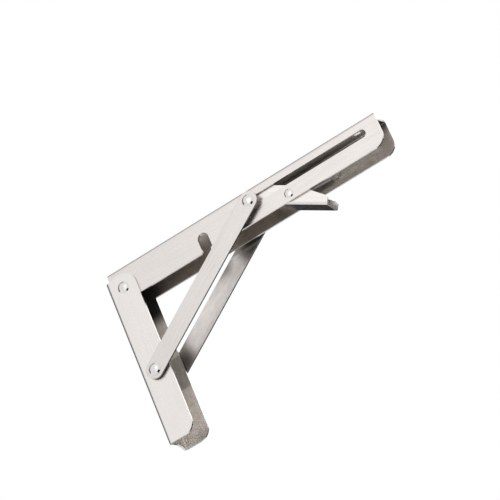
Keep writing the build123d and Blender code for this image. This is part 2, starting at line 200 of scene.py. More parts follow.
class FinishBench(NodeBench):
    """Lays out the nodes of one material."""

    def __init__(self, name: str) -> None:
        """Start an empty material.

        Args:
            name: Name of the material.
        """
        self.material = bpy.data.materials.new(name)
        self.material.use_nodes = True
        super().__init__(self.material.node_tree)

    def noise(
        self, sizes: Triple, turn: float, detail: float, seed: Triple = PLAIN_SEED
    ) -> Socket:
        """Noise whose features have the given sizes along the piece's own axes.

        Args:
            sizes: Feature length along X, Y and Z.
            turn: Angle about Y by which the axes are turned, in radians.
            detail: Octaves of the noise.
            seed: Offset that tells one pattern from another.

        Returns:
            The socket with the noise, about 0 to 1.
        """
        coords = self.add("ShaderNodeTexCoord")
        fitted = self.add(
            "ShaderNodeMapping",
            {
                "Vector": coords.outputs["Object"],
                "Location": seed,
                "Rotation": (0.0, turn, 0.0),
                "Scale": sizes,
            },
            vector_type="TEXTURE",
        )
        noise = self.add(
            "ShaderNodeTexNoise",
            {
                "Vector": fitted.outputs["Vector"],
                "Scale": 1.0,
                "Detail": detail,
                "Roughness": NOISE_ROUGHNESS,
            },
        )
        return noise.outputs["Fac"]

    def spread(self, source: Socket, low: float, high: float) -> Socket:
        """Map the middle of a noise to a range of values.

        Args:
            source: Noise of about 0 to 1.
            low: Value for the low end of the noise.
            high: Value for its high end.

        Returns:
            The socket with the new value.
        """
        node = self.add(
            "ShaderNodeMapRange",
            {
                "Value": source,
                "From Min": NOISE_LOW,
                "From Max": NOISE_HIGH,
                "To Min": low,
                "To Max": high,
            },
        )
        return node.outputs["Result"]

    def paint(self, share: Socket, first: Socket | Colour, second: Colour) -> Socket:
        """Lay one colour over another.

        Args:
            share: How much of the second colour covers the first.
            first: The lower colour, plain or from a socket.
            second: The upper colour.

        Returns:
            The socket with the colour.
        """
        lower = first if isinstance(first, bpy.types.NodeSocket) else (*first, 1.0)
        node = self.add(
            "ShaderNodeMix",
            {"Factor": share, MIX_FIRST: lower, MIX_SECOND: (*second, 1.0)},
            data_type="RGBA",
        )
        return node.outputs[MIX_RESULT]

    def metal(
        self, colour: Socket, roughness: Socket, height: Socket, depth: float
    ) -> bpy.types.Material:
        """Finish the material as bare metal.

        Args:
            colour: Socket of the base colour.
            roughness: Socket of the roughness.
            height: Socket of the surface height.
            depth: Depth of the surface height.

        Returns:
            The finished material.
        """
        bump = self.add(
            "ShaderNodeBump", {"Strength": 1.0, "Distance": depth, "Height": height}
        )
        shader = self.add(
            "ShaderNodeBsdfPrincipled",
            {
                "Metallic": 1.0,
                "Base Color": colour,
                "Roughness": roughness,
                "Normal": bump.outputs["Normal"],
            },
        )
        return self.surface(shader.outputs["BSDF"])

    def surface(self, shader: Socket) -> bpy.types.Material:
        """Put a shader on the material's surface and return the material."""
        self.add("ShaderNodeOutputMaterial", {"Surface": shader})
        return self.material


class ShapeBench(NodeBench):
    """Lays out a geometry tree with named inputs that ends as one dressed mesh."""

    def __init__(self, name: str, inputs: Sequence[tuple[str, str]]) -> None:
        """Start a tree.

        Args:
            name: Name of the tree.
            inputs: Name and socket type of each input.
        """
        super().__init__(bpy.data.node_groups.new(name, "GeometryNodeTree"))
        new_socket = self.tree.interface.new_socket
        for label, kind in (*inputs, ("Finish", "NodeSocketMaterial")):
            new_socket(name=label, in_out="INPUT", socket_type=kind)
        new_socket(name="Shape", in_out="OUTPUT", socket_type="NodeSocketGeometry")
        self.given = self.add("NodeGroupInput").outputs

    def finish(self, geometry: Socket) -> bpy.types.NodeTree:
        """Make the copies real, dress them and close the tree.

        Args:
            geometry: Socket with the geometry.

        Returns:
            The finished tree.
        """
        real = self.add("GeometryNodeRealizeInstances", {"Geometry": geometry})
        dressed = self.add(
            "GeometryNodeSetMaterial",
            {"Geometry": real.outputs["Geometry"], "Material": self.given["Finish"]},
        )
        self.add("NodeGroupOutput", {"Shape": dressed.outputs["Geometry"]})
        return self.tree


# --------------------------------------------------------------------------
# Finishes
# --------------------------------------------------------------------------


@dataclass(frozen=True)
class BrushedSteel:
    """Brushed stainless sheet, its grain along one line of the piece."""

    name: str
    run: Run = Run.ALONG_X
    turn: float = 0.0
    colour: Colour = (0.705, 0.67, 0.645)
    shade: Colour = (0.655, 0.62, 0.595)
    mottle: float = 0.45
    roughness: float = 0.27
    grain_roughness: float = 0.03
    streak_roughness: float = 0.02
    grain_length: float = 14 * MM
    grain_width: float = 0.35 * MM
    grain_depth: float = 0.004 * MM
    streak_length: float = 45 * MM
    streak_width: float = 2.4 * MM
    cloud_size: float = 30 * MM

    def build(self) -> bpy.types.Material:
        """Make the material.

        Returns:
            The brushed finish.
        """
        bench = FinishBench(self.name)
        grain_sizes = self.run.sizes(self.grain_length, self.grain_width)
        streak_sizes = self.run.sizes(self.streak_length, self.streak_width)
        grain = bench.noise(grain_sizes, self.turn, detail=3.0)
        streak = bench.noise(streak_sizes, self.turn, detail=2.0, seed=STREAK_SEED)
        cloud_sizes = (self.cloud_size,) * 3
        cloud = bench.noise(cloud_sizes, self.turn, detail=2.0, seed=CLOUD_SEED)
        share = bench.math(
            "ADD",
            bench.spread(streak, 0.0, self.mottle),
            bench.spread(cloud, 0.0, self.mottle),
        )
        colour = bench.paint(share, self.colour, self.shade)
        smooth = self.roughness - self.grain_roughness
        rough = self.roughness + self.grain_roughness
        roughness = bench.math(
            "ADD",
            bench.spread(grain, smooth, rough),
            bench.spread(streak, -self.streak_roughness, self.streak_roughness),
        )
        return bench.metal(colour, roughness, grain, self.grain_depth)


@dataclass(frozen=True)
class ShearedEdge:
    """The cut edge of the sheet: rougher and darker than its faces."""

    name: str = "sheared_edge"
    colour: Colour = (0.78, 0.75, 0.725)
    shade: Colour = (0.60, 0.57, 0.55)
    roughness: float = 0.22
    smoother: float = 0.06
    rougher: float = 0.1
    mark_depth: float = 0.004 * MM
    mark_sizes: Triple = (0.35 * MM, 3 * MM, 0.35 * MM)
    patch_sizes: Triple = (6 * MM, 1.2 * MM, 6 * MM)

    def build(self) -> bpy.types.Material:
        """Make the material.

        Returns:
            The finish of a sheared and deburred edge.
        """
        bench = FinishBench(self.name)
        marks = bench.noise(self.mark_sizes, 0.0, detail=2.0)
        patch = bench.noise(self.patch_sizes, 0.0, detail=2.0, seed=STAIN_SEED)
        colour = bench.paint(bench.spread(patch, 0.0, 1.0), self.colour, self.shade)
        smooth, rough = self.roughness - self.smoother, self.roughness + self.rougher
        roughness = bench.spread(marks, smooth, rough)
        return bench.metal(colour, roughness, marks, self.mark_depth)


@dataclass(frozen=True)
class PaintedShade:
    """A patch of painted shade, strongest at its middle and fading out from it."""

    centre: Triple
    reach: Triple
    strength: float
    full: float = 0.35
    # Near black: the colour of the painted shade.
    colour: Colour = (0.05, 0.045, 0.04)

    def share(self, bench: FinishBench) -> Socket:
        """Lay out the share of the painted patch over the surface.

        Args:
            bench: Bench of the material that the patch is painted on.

        Returns:
            The socket with the share, 0 where nothing is painted.
        """
        coords = bench.add("ShaderNodeTexCoord")
        local = bench.add(
            "ShaderNodeMapping",
            {
                "Vector": coords.outputs["Object"],
                "Location": self.centre,
                "Scale": self.reach,
            },
            vector_type="TEXTURE",
        )
        away = bench.add(
            "ShaderNodeVectorMath", {0: local.outputs["Vector"]}, operation="LENGTH"
        )
        fade = bench.add(
            "ShaderNodeMapRange",
            {
                "Value": away.outputs["Value"],
                "From Min": self.full,
                "From Max": 1.0,
                "To Min": self.strength,
                "To Max": 0.0,
            },
            interpolation_type="SMOOTHSTEP",
        )
        return fade.outputs["Result"]


@dataclass(frozen=True)
class PaintedHighlight(PaintedShade):
    """A patch of painted highlight: the same fading patch, in near white."""

    # Near white: the colour of the painted highlight.
    colour: Colour = (1.0, 0.98, 0.96)


@dataclass(frozen=True)
class RolledInside:
    """The dull inside of a folded channel, mottled with stains, with patches of painted
    shade and highlight over it.
    """

    name: str
    run: Run = Run.ALONG_X
    turn: float = 0.0
    painted_light: tuple[PaintedShade, ...] = ()
    # Darker and browner than the outer faces: partly mottled stains, partly painted
    # shade for the inside of the channel.
    colour: Colour = (0.75, 0.705, 0.66)
    shade: Colour = (0.50, 0.445, 0.395)
    roughness: float = 0.53
    line_roughness: float = 0.02
    stain_roughness: float = 0.04
    line_share: float = 0.4
    stain_share: float = 0.6
    line_length: float = 16 * MM
    line_width: float = 1.5 * MM
    line_depth: float = 0.002 * MM
    stain_length: float = 5.76 * MM
    stain_width: float = 3.6 * MM

    def build(self) -> bpy.types.Material:
        """Make the material.

        Returns:
            The finish of the inside of a channel.
        """
        bench = FinishBench(self.name)
        line_sizes = self.run.sizes(self.line_length, self.line_width)
        stain_sizes = self.run.sizes(self.stain_length, self.stain_width)
        lines = bench.noise(line_sizes, self.turn, detail=3.0)
        stains = bench.noise(stain_sizes, self.turn, detail=4.0, seed=STAIN_SEED)
        share = bench.math(
            "ADD",
            bench.spread(stains, 0.0, self.stain_share),
            bench.spread(lines, 0.0, self.line_share),
        )
        colour = bench.paint(share, self.colour, self.shade)
        # Lay each patch of painted shade or painted highlight over the colour.
        for film in self.painted_light:
            colour = bench.paint(film.share(bench), colour, film.colour)
        smooth = self.roughness - self.line_roughness
        rough = self.roughness + self.line_roughness
        roughness = bench.math(
            "ADD",
            bench.spread(lines, smooth, rough),
            bench.spread(stains, -self.stain_roughness, self.stain_roughness),
        )
        return bench.metal(colour, roughness, lines, self.line_depth)


@dataclass(frozen=True)
class TurnedSteel:
    """Smooth headed steel with faint rings left by the tool."""

    name: str = "turned_steel"
    colour: Colour = (0.76, 0.745, 0.73)
    shade: Colour = (0.68, 0.66, 0.645)
    shade_share: float = 0.8
    roughness: float = 0.1
    smoother: float = 0.02
    rougher: float = 0.04
    cloud_smoother: float = 0.02
    cloud_rougher: float = 0.03
    ring_pitch: float = 0.22 * MM
    ring_depth: float = 0.002 * MM
    cloud_size: float = 2.5 * MM

    def build(self) -> bpy.types.Material:
        """Make the material.

        Returns:
            The finish of a rivet or pin.
        """
        bench = FinishBench(self.name)
        radius = bench.add("ShaderNodeAttribute", attribute_name=TURNED_RADIUS)
        pitches = bench.math("DIVIDE", radius.outputs["Fac"], self.ring_pitch)
        rings = bench.add(
            "ShaderNodeTexNoise",
            {"W": pitches, "Scale": 1.0, "Detail": 2.0},
            noise_dimensions="1D",
        ).outputs["Fac"]
        cloud = bench.noise((self.cloud_size,) * 3, 0.0, detail=3.0)
        share = bench.spread(cloud, 0.0, self.shade_share)
        colour = bench.paint(share, self.colour, self.shade)
        smooth, rough = self.roughness - self.smoother, self.roughness + self.rougher
        roughness = bench.math(
            "ADD",
            bench.spread(rings, smooth, rough),
            bench.spread(cloud, -self.cloud_smoother, self.cloud_rougher),
        )
        return bench.metal(colour, roughness, rings, self.ring_depth)


@dataclass(frozen=True)
class DrawnWire:
    """Hard drawn spring wire with a thin film of oil."""

    name: str = "drawn_wire"
    colour: Colour = (0.56, 0.55, 0.54)
    shade: Colour = (0.40, 0.39, 0.38)
    roughness: float = 0.22
    smoother: float = 0.05
    rougher: float = 0.08
    line_sizes: Triple = (1.5 * MM, 0.2 * MM, 0.2 * MM)
    line_depth: float = 0.004 * MM

    def build(self) -> bpy.types.Material:
        """Make the material.

        Returns:
            The finish of the spring.
        """
        bench = FinishBench(self.name)
        lines = bench.noise(self.line_sizes, 0.0, detail=2.0)
        colour = bench.paint(bench.spread(lines, 0.0, 1.0), self.colour, self.shade)
        smooth, rough = self.roughness - self.smoother, self.roughness + self.rougher
        roughness = bench.spread(lines, smooth, rough)
        return bench.metal(colour, roughness, lines, self.line_depth)


# --------------------------------------------------------------------------
# Shared steps
# --------------------------------------------------------------------------


def node_middle(node: str) -> Vector:
    """Middle of a frame node's box."""
    low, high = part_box(node)
    return (low + high) / 2


def link_object(name: str, data: bpy.types.ID | None) -> bpy.types.Object:
    """Make an object from its data and put it in the scene.

    Args:
        name: Name of the object.
        data: Its mesh, lamp or camera.

    Returns:
        The new object.
    """
    made = bpy.data.objects.new(name, data)
    bpy.context.scene.collection.objects.link(made)
    return made


def line_mesh(name: str, points: Sequence[Sequence[float]]) -> bpy.types.Mesh:
    """Make a mesh of one line.

    Args:
        name: Name of the mesh.
        points: Points of the line, in order.

    Returns:
        The new mesh.
    """
    mesh = bpy.data.meshes.new(name)
    edges = [(index, index + 1) for index in range(len(points) - 1)]
    mesh.from_pydata(points, edges, [])
    return mesh


def flatten_modifiers(piece: bpy.types.Object) -> None:
    """Turn the result of a piece's modifiers into its plain mesh.

    Args:
        piece: Object with live modifiers, which are removed.
    """
    bpy.context.view_layer.update()
    graph = bpy.context.evaluated_depsgraph_get()
    result = bpy.data.meshes.new_from_object(
        piece.evaluated_get(graph), preserve_all_data_layers=True, depsgraph=graph
    )
    old = piece.data
    piece.modifiers.clear()
    piece.data = result
    result.name = piece.name
    bpy.data.meshes.remove(old)


def face_outwards(mesh: bpy.types.Mesh) -> None:
    """Merge a closed mesh's corners, turn its faces outwards and smooth them.

    Args:
        mesh: The mesh to mend.
    """
    work = bmesh.new()
    work.from_mesh(mesh)
    bmesh.ops.remove_doubles(work, verts=work.verts, dist=SAME_CORNER)
    bmesh.ops.recalc_face_normals(work, faces=work.faces)
    for face in work.faces:
        face.smooth = True
    work.to_mesh(mesh)
    work.free()


def shape(
    piece: bpy.types.Object, tree: bpy.types.NodeTree, values: dict[str, Any]
) -> None:
    """Shape a piece with a geometry tree and keep the result as its plain mesh.

    Args:
        piece: Object to shape.
        tree: The tree, which is removed afterwards.
        values: Value for each named input of the tree.
    """
    modifier = piece.modifiers.new(tree.name, "NODES")
    modifier.node_group = tree
    for item in tree.interface.items_tree:
        if item.in_out == "INPUT" and item.name in values:
            modifier[item.identifier] = values[item.name]
    flatten_modifiers(piece)
    bpy.data.node_groups.remove(tree)
    face_outwards(piece.data)


def settle(
    piece: bpy.types.Object, body: str | None, nodes: Iterable[str]
) -> bpy.types.Object:
    """Let a finished piece ride on its body in place of its frame nodes.

    Args:
        piece: The finished piece.
        body: Body that carries it, or None to leave it on no body.
        nodes: Frame nodes that it stands for.

    Returns:
        The same piece.
    """
    if body is not None:
        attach(piece, body)
    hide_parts(*nodes)
    faces = len(piece.data.polygons)
    LOG.info("%s: %d faces on %s", piece.name, faces, body or "two bodies")
    return piece


# --------------------------------------------------------------------------
# Folded sheet
# --------------------------------------------------------------------------


@dataclass
class SheetPiece:
    """A folded or blanked sheet piece with its edges deburred."""

    node: str
    body: str
    slot: str
    finish: BrushedSteel
    inside: RolledInside
    edge: ShearedEdge | None = None
    folded: bool = True
    web_low: bool = False
    sheet: float = 2.0 * MM
    bend: float = 3.5 * MM
    edge_break: float = 0.25 * MM
    break_steps: int = 2
    sharp_angle: float = math.radians(28)

    def patch(self, normal: Vector, centre: Vector, low: Vector, high: Vector) -> Patch:
        """Tell which part of the sheet a face belongs to.

        Args:
            normal: Normal of the face, in the piece's own turned axes.
            centre: Middle of the face, in the same axes.
            low: Lowest corner of the piece, in the same axes.
            high: Highest corner of the piece, in the same axes.

        Returns:
            The patch: outer face, cut edge, inside of the fold or screw sink.
        """
        if not self.folded:
            outwards = normal.y * centre.y > 0
            flat = Patch.FACE if outwards else Patch.INSIDE
            return flat if abs(normal.y) > LOOKS_ALONG else Patch.EDGE
        along, across = self.finish.run.value
        depth = high[across] - centre[across]
        if self.web_low:
            depth = centre[across] - low[across]
        side, facing = abs(centre.y), abs(normal[across])
        if abs(normal[along]) > LOOKS_ALONG:
            return Patch.EDGE
        if depth > self.bend and abs(normal.y) < LOOKS_ALONG:
            return Patch.EDGE
        if side < high.y - self.bend - SLACK and facing < LOOKS_SQUARE:
            if depth < self.sheet + SLACK:
                return Patch.SINK if facing > LOOKS_ALONG else Patch.EDGE
        if side < high.y - self.sheet + SLACK and depth > self.sheet - SLACK:
            return Patch.INSIDE
        return Patch.FACE

    def merged(self) -> bpy.types.Mesh:
        """Copy the frame's mesh, join its flat faces and mark its patches.

        Returns:
            The merged mesh.
        """
        mesh = bpy.data.meshes.new(self.node + "_sheet")
        work = bmesh.new()
        work.from_mesh(bpy.data.objects[self.node].data)
        bmesh.ops.remove_doubles(work, verts=work.verts, dist=SAME_CORNER)
        bmesh.ops.dissolve_limit(
            work,
            angle_limit=SAME_FACE,
            use_dissolve_boundaries=False,
            verts=work.verts,
            edges=work.edges,
        )
        work.normal_update()
        turn = Matrix.Rotation(-self.finish.turn, 3, "Y")
        corners = [turn @ corner.co for corner in work.verts]
        low = Vector([min(corner[axis] for corner in corners) for axis in range(3)])
        high = Vector([max(corner[axis] for corner in corners) for axis in range(3)])
        for face in work.faces:
            centre = turn @ face.calc_center_median()
            patch = self.patch(turn @ face.normal, centre, low, high)
            face.material_index = patch.value
            face.smooth = True
        work.to_mesh(mesh)
        work.free()
        return mesh

    def build(self, shared: dict[Patch, bpy.types.Material]) -> bpy.types.Object:
        """Make the piece, dress it and set it on its body.

        Args:
            shared: Finishes of the cut edges and the screw sinks.

        Returns:
            The finished object.
        """
        mesh = self.merged()
        piece = link_object(self.node + "_dressed", mesh)
        bevel = piece.modifiers.new("deburred", "BEVEL")
        bevel.width = self.edge_break
        bevel.segments = self.break_steps
        bevel.limit_method = "ANGLE"
        bevel.angle_limit = self.sharp_angle
        bevel.use_clamp_overlap = True
        even = piece.modifiers.new("even_faces", "WEIGHTED_NORMAL")
        even.mode = "FACE_AREA"
        even.keep_sharp = False
        finishes = {
            Patch.FACE: self.finish.build(),
            Patch.EDGE: self.edge.build() if self.edge else shared[Patch.EDGE],
            Patch.INSIDE: self.inside.build(),
            Patch.SINK: shared[Patch.SINK],
        }
        for patch in Patch:
            mesh.materials.append(finishes[patch])
        flatten_modifiers(piece)
        return settle(piece, self.body, [self.node])


# --------------------------------------------------------------------------
# Rivets and pins
# --------------------------------------------------------------------------


@dataclass(frozen=True)
class DomedHead:
    """Head of a rivet or pin: a low crown above a steeper, soft shoulder."""

    radius: float
    height: float
    crown: float = 0.7
    lean: float = math.radians(9)
    brow: float = math.radians(32)
    fall: float = math.radians(41)
    steps: int = 7

    def section(self, seat: float) -> Section:
        """Half section of the head, from the middle out and down to its seat.

        Args:
            seat: Height of the seat along the axis.

        Returns:
            Points of radius and height.
        """
        top = seat + self.height
        ball = self.radius * self.crown / math.sin(self.lean)
        points = []
        for step in range(self.steps + 1):
            slope = self.lean * step / self.steps
            points.append((ball * math.sin(slope), top - ball * (1 - math.cos(slope))))
        rim, shelf = points[-1]
        soft = (self.radius - rim) / (math.sin(self.fall) - math.sin(self.brow))
        for step in range(1, self.steps + 1):
            slope = self.brow + (self.fall - self.brow) * step / self.steps
            out = rim + soft * (math.sin(slope) - math.sin(self.brow))
            drop = soft * (math.cos(self.brow) - math.cos(slope))
            points.append((out, shelf - drop))
        return points + [(self.radius, seat)]


@dataclass
class TurnedSet:
    """Turned pieces of one pattern, one at each given place on a body."""

    name: str
    nodes: tuple[str, ...]
    body: str
    section: Section
    places: tuple[tuple[Triple, Side], ...]
    segments: int = 56
    weld: float = 0.002 * MM
    sharp_angle: float = math.radians(38)

    def tree(self) -> bpy.types.NodeTree:
        """Lay out the turning of a section about its axis, copied to each place.

        Returns:
            The geometry tree.
        """
        bench = ShapeBench(
            "turned_and_placed",
            (
                ("Places", "NodeSocketGeometry"),
                ("Section", "NodeSocketObject"),
                ("Segments", "NodeSocketInt"),
                ("Weld", "NodeSocketFloat"),
            ),
        )
        given, add, work_out = bench.given, bench.add, bench.math
        section = add("GeometryNodeObjectInfo", {"Object": given["Section"]})
        line = section.outputs["Geometry"]
        size = add("GeometryNodeAttributeDomainSize", {"Geometry": line})
        columns = size.outputs["Point Count"]
        rows = add(
            "FunctionNodeIntegerMath", {0: given["Segments"], 1: 1}, operation="ADD"
        )
        grid = add(
            "GeometryNodeMeshGrid",
            {
                "Size X": 1.0,
                "Size Y": 1.0,
                "Vertices X": columns,
                "Vertices Y": rows.outputs[0],
            },
        )
        position = add("GeometryNodeInputPosition").outputs["Position"]
        share = add("ShaderNodeSeparateXYZ", {"Vector": position}).outputs
        # The grid's middle lies at the origin, so its columns start at -0.5.
        column = work_out(
            "MULTIPLY",
            work_out("ADD", share["X"], 0.5),
            work_out("SUBTRACT", columns, 1.0),
        )
        corner = add(
            "GeometryNodeSampleIndex",
            {"Geometry": line, "Value": position, "Index": work_out("ROUND", column)},
            data_type="FLOAT_VECTOR",
        )
        profile = add("ShaderNodeSeparateXYZ", {"Vector": corner.outputs["Value"]})
        radius, height = profile.outputs["X"], profile.outputs["Z"]
        turn = work_out("MULTIPLY", share["Y"], FULL_TURN)
        place = add(
            "ShaderNodeCombineXYZ",
            {
                "X": work_out("MULTIPLY", work_out("COSINE", turn), radius),
                "Y": work_out("MULTIPLY", work_out("SINE", turn), radius),
                "Z": height,
            },
        )
        marked = add(
            "GeometryNodeStoreNamedAttribute",
            {"Geometry": grid.outputs["Mesh"], "Name": TURNED_RADIUS, "Value": radius},
            data_type="FLOAT",
            domain="POINT",
        )
        lathed = add(
            "GeometryNodeSetPosition",
            {
                "Geometry": marked.outputs["Geometry"],
                "Position": place.outputs["Vector"],
            },
        )
        welded = add(
            "GeometryNodeMergeByDistance",
            {"Geometry": lathed.outputs["Geometry"], "Distance": given["Weld"]},
        )
        facing = add(
            "GeometryNodeInputNamedAttribute",
            {"Name": FACING},
            data_type="FLOAT_VECTOR",
        )
        copies = add(
            "GeometryNodeInstanceOnPoints",
            {
                "Points": given["Places"],
                "Instance": welded.outputs["Geometry"],
                "Rotation": facing.outputs["Attribute"],
            },
        )
        return bench.finish(copies.outputs["Instances"])

    def build(self, finish: bpy.types.Material) -> bpy.types.Object:
        """Turn the pieces, place them and set them on their body.

        Args:
            finish: Finish of the pieces.

        Returns:
            The finished object.
        """
        points = [(radius, 0.0, height) for radius, height in self.section]
        label = self.name + "_section"
        template = link_object(label, line_mesh(label, points))
        spots = bpy.data.meshes.new(self.name)
        spots.from_pydata([place for place, _ in self.places], [], [])
        facing = spots.attributes.new(FACING, "FLOAT_VECTOR", "POINT")
        for index, (_, side) in enumerate(self.places):
            facing.data[index].vector = (-side.value * FULL_TURN / 4, 0.0, 0.0)
        piece = link_object(self.name, spots)
        shape(
            piece,
            self.tree(),
            {
                "Section": template,
                "Segments": self.segments,
                "Weld": self.weld,
                "Finish": finish,
            },
        )
        bpy.data.objects.remove(template)
        piece.data.set_sharp_from_angle(angle=self.sharp_angle)
        return settle(piece, self.body, self.nodes)


@dataclass
class Rivets:
    """Every rivet and pin of the bracket, with the sizes of their sections."""

    shank: float = 3.0 * MM
    head: DomedHead = DomedHead(5.8 * MM, 1.7 * MM)
    tail: float = 4.5 * MM
    tail_height: float = 1.2 * MM
    tail_break: float = 0.35 * MM
    tail_bow: float = 0.3
    shoulder: float = 5.0 * MM
    standoff: float = 1.5 * MM
    pivot: float = 2.5 * MM
    pivot_head: DomedHead = DomedHead(4.65 * MM, 1.3 * MM)
    pin: float = 3.95 * MM
    collar: float = 5.5 * MM
    collar_gap: float = 0.12 * MM
    edge_break: float = 0.2 * MM

    def pair(self, stem: str, body: str, section: Section) -> TurnedSet:
        """Set a front and a rear piece of one pattern on the bracket's middle plane.

        Args:
            stem: Name of the nodes without their side.
            body: Body that carries the two.
            section: Half section of the rear one, its height along +Y.

        Returns:
            The pattern at its two places.
        """
        sides = {stem + "_front": Side.FRONT, stem + "_rear": Side.REAR}
        places = []
        for node, side in sides.items():
            middle = node_middle(node)
            places.append(((middle.x, 0.0, middle.z), side))
        return TurnedSet(stem + "s", tuple(sides), body, section, tuple(places))

    def headed(self, outer: float) -> Section:
        """Lay out a rivet's head and the shank's start under it.

        Args:
            outer: Height of the head's top.

        Returns:
            Points of radius and height.
        """
        seat = outer - self.head.height
        return self.head.section(seat) + [(self.shank, seat)]

    def tailed(self, inner: float) -> Section:
        """Lay out a rivet's set tail.

        Args:
            inner: Height of the tail's end.

        Returns:
            Points of radius and height.
        """
        top, soft = inner + self.tail_height, self.tail_break
        bow = soft * self.tail_bow
        return [
            (self.shank, top),
            (self.tail, top),
            (self.tail, inner + soft),
            (self.tail - bow, inner + bow),
            (self.tail - soft, inner),
            (0.0, inner),
        ]

    def hinge(self) -> TurnedSet:
        """Lay out the two rivets that the arm turns on.

        Returns:
            The pattern at its places.
        """
        low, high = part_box("hinge_rivet_rear")
        return self.pair("hinge_rivet", "leg", self.headed(high.y) + self.tailed(low.y))

    def foot(self) -> TurnedSet:
        """Lay out the two shouldered rivets at the feet of the bars.

        Returns:
            The pattern at its places.
        """
        low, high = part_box("foot_rivet_rear")
        leg_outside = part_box("wall_leg")[1].y
        bar_inside = leg_outside + self.standoff
        shoulder = [
            (self.shank, bar_inside),
            (self.shoulder - self.edge_break, bar_inside),
            (self.shoulder, bar_inside - self.edge_break),
            (self.shoulder, leg_outside),
            (self.shank, leg_outside),
        ]
        section = self.headed(high.y) + shoulder + self.tailed(low.y)
        return self.pair("foot_rivet", "leg", section)

    def pins(self) -> TurnedSet:
        """Lay out the two rivet heads at the upper ends of the bars.

        Returns:
            The pattern at its places.
        """
        low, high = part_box("pin_rivet_rear")
        shank_end = [(self.shank, low.y), (0.0, low.y)]
        return self.pair("pin_rivet", "struts", self.headed(high.y) + shank_end)

    def slot_pins(self) -> TurnedSet:
        """Lay out the two collared stubs that run in the arm's slots.

        Returns:
            The pattern at its places.
        """
        low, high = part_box("slot_pin_rear")
        soft = self.edge_break
        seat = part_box("shelf_arm")[1].y + self.collar_gap
        section = [
            (0.0, high.y),
            (self.collar - soft, high.y),
            (self.collar, high.y - soft),
            (self.collar, seat + soft),
            (self.collar - soft, seat),
            (self.pin, seat),
            (self.pin, low.y + soft),
            (self.pin - soft, low.y),
            (0.0, low.y),
        ]
        return self.pair("slot_pin", "slot_pins", section)

    def lever_pivot(self) -> TurnedSet:
        """Lay out the lever's pivot, one pin through the arm with a head at each end.

        Returns:
            The pin at its place.
        """
        node = "lever_pivot_pin"
        middle = node_middle(node)
        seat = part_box(node)[1].y - self.pivot_head.height
        half = self.pivot_head.section(seat) + [(self.pivot, seat)]
        mirrored = [(radius, -height) for radius, height in reversed(half)]
        places = (((middle.x, 0.0, middle.z), Side.REAR),)
        return TurnedSet("lever_pivot", (node,), "arm", half + mirrored, places)

    def build(self, finish: bpy.types.Material) -> None:
        """Make every rivet and pin.

        Args:
            finish: Finish of the rivets.
        """
        for pattern in (self.hinge, self.foot, self.pins, self.slot_pins):
            pattern().build(finish)
        self.lever_pivot().build(finish)


# --------------------------------------------------------------------------
# Spring
# --------------------------------------------------------------------------


